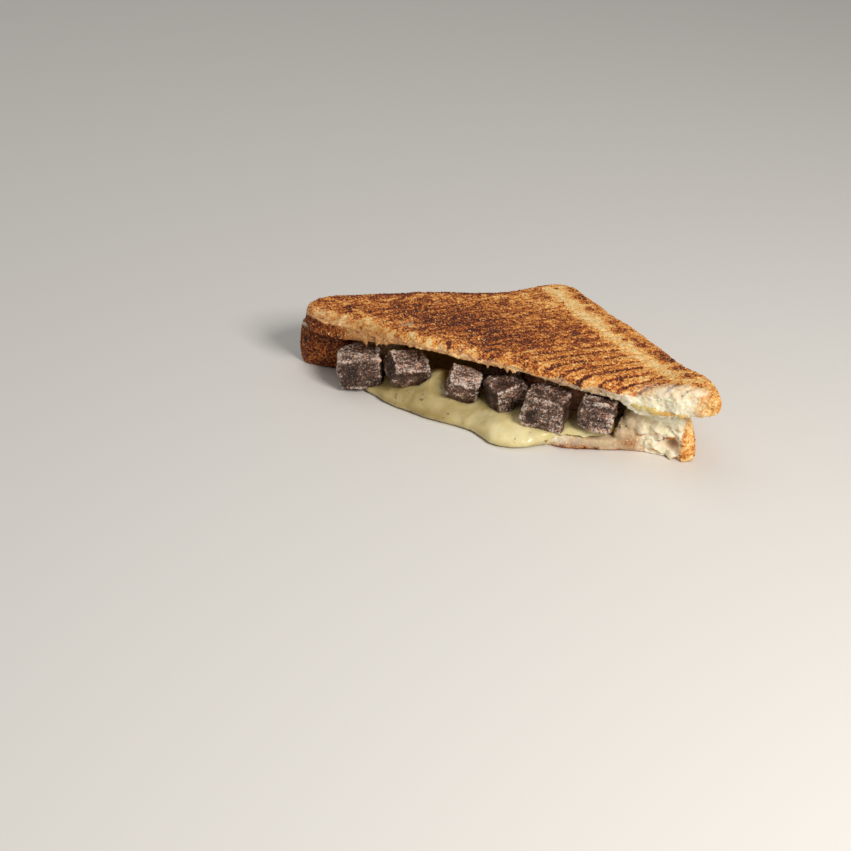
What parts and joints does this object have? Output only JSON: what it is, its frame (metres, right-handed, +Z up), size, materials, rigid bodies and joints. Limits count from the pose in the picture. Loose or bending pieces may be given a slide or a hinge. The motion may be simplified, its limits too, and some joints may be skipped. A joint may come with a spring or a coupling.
{
  "type": "toasted sandwich",
  "caption": "Half of a pressed toasted sandwich cut corner to corner: melted cheese runs out of the cut between two slices of bread, with cubes of browned beef along it.",
  "frame": {"origin": "middle of the bounding box at the underside, where the lower slice lies on the table", "axes": "+X along the cut towards the end that stands proud, +Y back to the square corner of the bread, +Z up"},
  "size_m": [0.1652, 0.0979, 0.0321],
  "materials": {
    "toasted_bread": "dry, grilled golden brown to dark brown, with paler crust rims and cream crumb at the cut",
    "bread_crumb": "soft torn white crumb with a browned crust and underside",
    "melted_cheese": "smooth, slightly greasy, pale yellow",
    "braised_beef": "rough grey-brown meat fibre with a faint moist sheen"
  },
  "bodies": {
    "root": {"upper_slice": "toasted_bread", "lower_slice": "bread_crumb", "cheese": "melted_cheese", "beef_cube_1": "braised_beef", "beef_cube_2": "braised_beef", "beef_cube_3": "braised_beef", "beef_cube_4": "braised_beef", "beef_cube_5": "braised_beef", "beef_cube_6": "braised_beef", "beef_cube_7": "braised_beef", "beef_cube_8": "braised_beef"}
  },
  "joints": []
}
